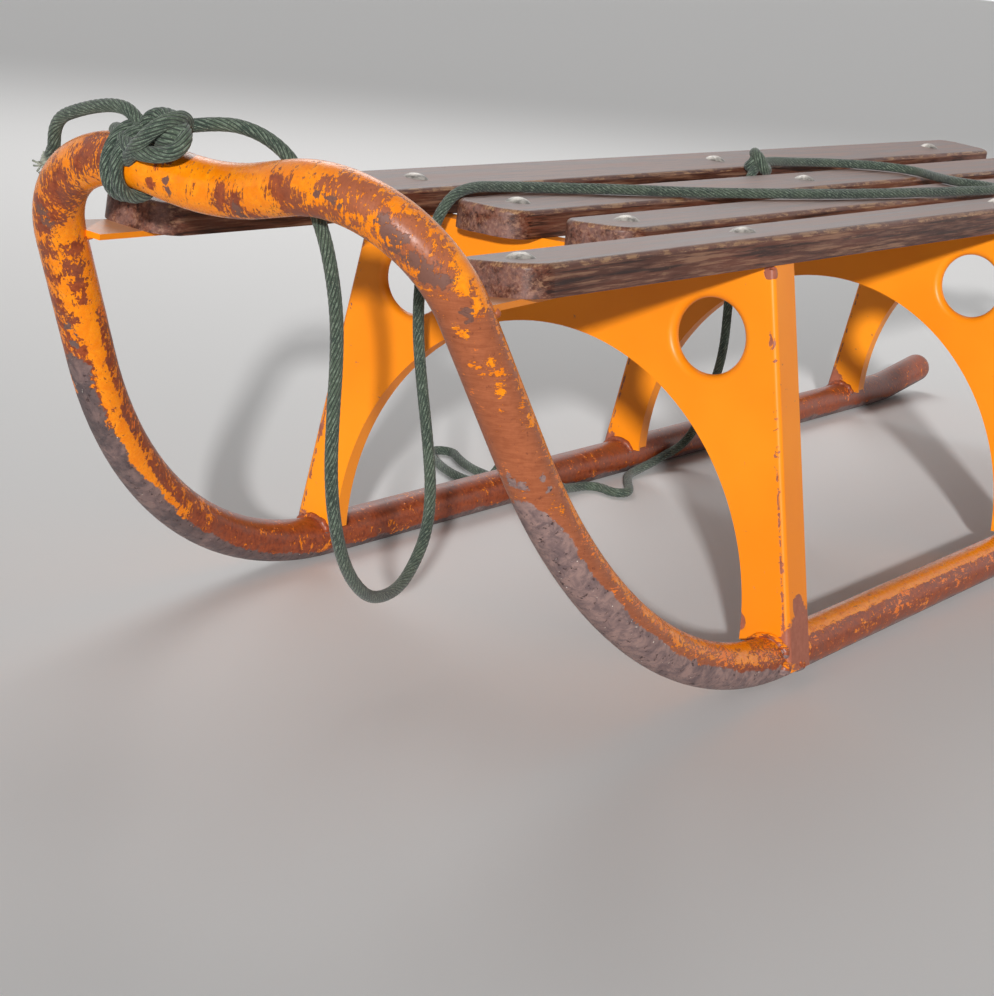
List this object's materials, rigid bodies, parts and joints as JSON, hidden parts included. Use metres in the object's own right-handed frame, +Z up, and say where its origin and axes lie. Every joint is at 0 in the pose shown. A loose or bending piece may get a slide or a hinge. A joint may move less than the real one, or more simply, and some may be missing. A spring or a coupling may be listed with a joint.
{
  "type": "child's steel-tube sled",
  "caption": "Child's snow sled with a bent tube frame, pressed steel cross-members, a slatted wooden seat and a tied pulling rope.",
  "frame": {"origin": "on the floor, midway between the runners, at the middle of the sled's length", "axes": "+X forward to the raised bow, +Y to the sled's left, +Z up"},
  "size_m": [1.2615, 0.4445, 0.2912],
  "materials": {
    "worn_orange_paint": "orange enamel, heavily worn to rusty brown steel and grey primer",
    "orange_paint": "satin orange enamel with small scratches",
    "varnished_wood": "dark brown varnish, weathered grey on top, edges worn pale",
    "zinc_steel": "dull zinc plating",
    "green_rope": "laid fibre rope, dull"
  },
  "bodies": {
    "root": {"bow": "worn_orange_paint", "left_runner": "worn_orange_paint", "right_runner": "worn_orange_paint", "front_cross_member": "orange_paint", "middle_cross_member": "orange_paint", "rear_cross_member": "orange_paint", "left_tab": "orange_paint", "right_tab": "orange_paint", "slat_outer_right": "varnished_wood", "slat_inner_right": "varnished_wood", "slat_inner_left": "varnished_wood", "slat_outer_left": "varnished_wood", "bolt_front_outer_right": "zinc_steel", "nut_front_outer_right": "zinc_steel", "bolt_front_inner_right": "zinc_steel", "nut_front_inner_right": "zinc_steel", "bolt_front_inner_left": "zinc_steel", "nut_front_inner_left": "zinc_steel", "bolt_front_outer_left": "zinc_steel", "nut_front_outer_left": "zinc_steel", "bolt_middle_outer_right": "zinc_steel", "nut_middle_outer_right": "zinc_steel", "bolt_middle_inner_right": "zinc_steel", "nut_middle_inner_right": "zinc_steel", "bolt_middle_inner_left": "zinc_steel", "nut_middle_inner_left": "zinc_steel", "bolt_middle_outer_left": "zinc_steel", "nut_middle_outer_left": "zinc_steel", "bolt_rear_outer_right": "zinc_steel", "nut_rear_outer_right": "zinc_steel", "bolt_rear_inner_right": "zinc_steel", "nut_rear_inner_right": "zinc_steel", "bolt_rear_inner_left": "zinc_steel", "nut_rear_inner_left": "zinc_steel", "bolt_rear_outer_left": "zinc_steel", "nut_rear_outer_left": "zinc_steel", "bolt_tab_outer_right": "zinc_steel", "bolt_tab_outer_left": "zinc_steel", "rope": "green_rope", "rope_tail": "green_rope", "bar_knot": "green_rope", "seat_knot": "green_rope"}
  },
  "joints": []
}
